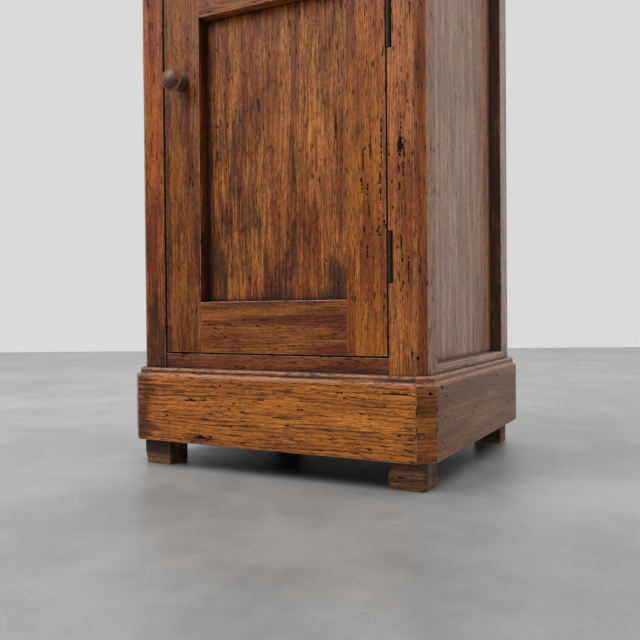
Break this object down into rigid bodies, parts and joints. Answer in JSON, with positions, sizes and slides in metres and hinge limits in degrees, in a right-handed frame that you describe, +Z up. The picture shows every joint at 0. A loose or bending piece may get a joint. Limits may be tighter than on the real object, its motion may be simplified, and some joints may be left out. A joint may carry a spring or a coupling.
{
  "type": "nightstand",
  "caption": "Bedside cabinet in frame-and-panel construction, with canted front corners, a moulded plinth on block feet, a hinged door, a shelf and a drawer.",
  "frame": {"origin": "on the floor, under the middle of the whole outline, knobs included", "axes": "+X to the right seen from the front, +Y to the back, +Z up"},
  "size_m": [0.43, 0.402, 0.8],
  "materials": {
    "front_wood": "worn wax polish on coarse-grained wood with dark stains",
    "dark_wood": "dark, worn and rough wood",
    "side_wood": "greyed wax polish with a soft sheen",
    "inner_wood": "raw, dry softwood",
    "knob_wood": "turned, dark and polished by use",
    "iron": "dark wrought iron, dull"
  },
  "bodies": {
    "carcass": {"plinth_front": "front_wood", "plinth_corner_left": "front_wood", "plinth_corner_right": "front_wood", "post_front_left": "front_wood", "post_front_right": "front_wood", "drawer_divider": "front_wood", "front_rail_upper": "front_wood", "top_board": "front_wood", "front_rail_lower": "dark_wood", "foot_front_left": "dark_wood", "foot_front_right": "dark_wood", "foot_rear_left": "dark_wood", "foot_rear_right": "dark_wood", "plinth_side_left": "side_wood", "plinth_side_right": "side_wood", "post_rear_left": "side_wood", "post_rear_right": "side_wood", "side_rail_lower_left": "side_wood", "side_rail_lower_right": "side_wood", "side_rail_upper_left": "side_wood", "side_rail_upper_right": "side_wood", "side_panel_left": "side_wood", "side_panel_right": "side_wood", "plinth_back": "inner_wood", "back_rail_lower": "inner_wood", "back_rail_upper": "inner_wood", "back_board_left": "inner_wood", "back_board_right": "inner_wood", "floor_board": "inner_wood", "shelf": "inner_wood", "shelf_cleat_left": "inner_wood", "shelf_cleat_right": "inner_wood", "drawer_runner_left": "inner_wood", "drawer_runner_right": "inner_wood", "drawer_kicker_left": "inner_wood", "drawer_kicker_right": "inner_wood", "drawer_stops": "inner_wood", "door_stop": "inner_wood", "back_nails": "iron", "hinge_leaf_post_lower": "iron", "hinge_leaf_post_upper": "iron", "hinge_pins": "iron", "hinge_screws_post": "iron"},
    "door": {"door_stile_lock": "front_wood", "door_stile_hinge": "front_wood", "door_rail_lower": "front_wood", "door_rail_upper": "front_wood", "door_panel": "front_wood", "hinge_leaf_door_lower": "iron", "hinge_leaf_door_upper": "iron", "hinge_screws_door": "iron"},
    "door_turn": {"door_knob": "knob_wood", "door_catch": "iron"},
    "drawer": {"drawer_front": "front_wood", "drawer_side_left": "inner_wood", "drawer_side_right": "inner_wood", "drawer_back": "inner_wood", "drawer_bottom": "inner_wood", "drawer_knob": "knob_wood"}
  },
  "joints": [
    {"name": "door_hinge", "type": "hinge", "parent": "carcass", "child": "door", "pos_m": [0.161, -0.17165, 0.3954], "axis": [0, 0, 1], "range_deg": [0, 110]},
    {"name": "door_knob_turn", "type": "hinge", "parent": "door", "child": "door_turn", "pos_m": [-0.12855, -0.17305, 0.5007], "axis": [0, 1, 0], "range_deg": [0, 90]},
    {"name": "drawer_slide", "type": "slide", "parent": "carcass", "child": "drawer", "axis": [0, -1, 0], "range_m": [0, 0.24]}
  ]
}
